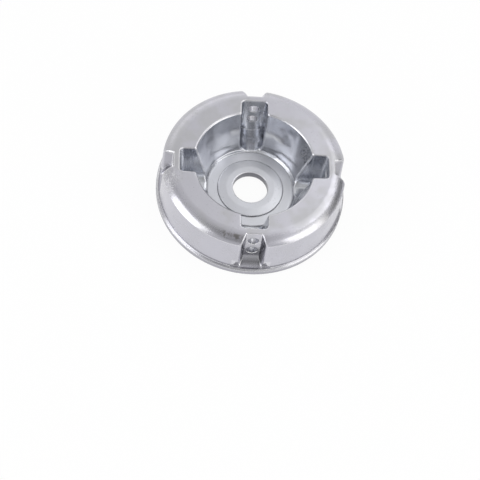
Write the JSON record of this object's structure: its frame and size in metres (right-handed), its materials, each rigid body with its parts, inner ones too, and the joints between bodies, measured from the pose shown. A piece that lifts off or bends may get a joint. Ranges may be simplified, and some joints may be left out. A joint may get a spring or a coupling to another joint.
{
  "type": "trimmer head",
  "caption": "Round die-cast head for a grass trimmer: open bowl with a central arbor bore, line channels with cross holes in their webs, and outer notches over a base lip.",
  "frame": {"origin": "on the axis of the arbor bore, in the plane of the base", "axes": "+Z along the bore, out of the bowl; +X and +Y along two neighbouring line channels"},
  "size_m": [0.08, 0.08, 0.023],
  "materials": {
    "cast_aluminium": "bright as-cast, lightly polished"
  },
  "bodies": {
    "root": {"trimmer_head": "cast_aluminium"}
  },
  "joints": []
}
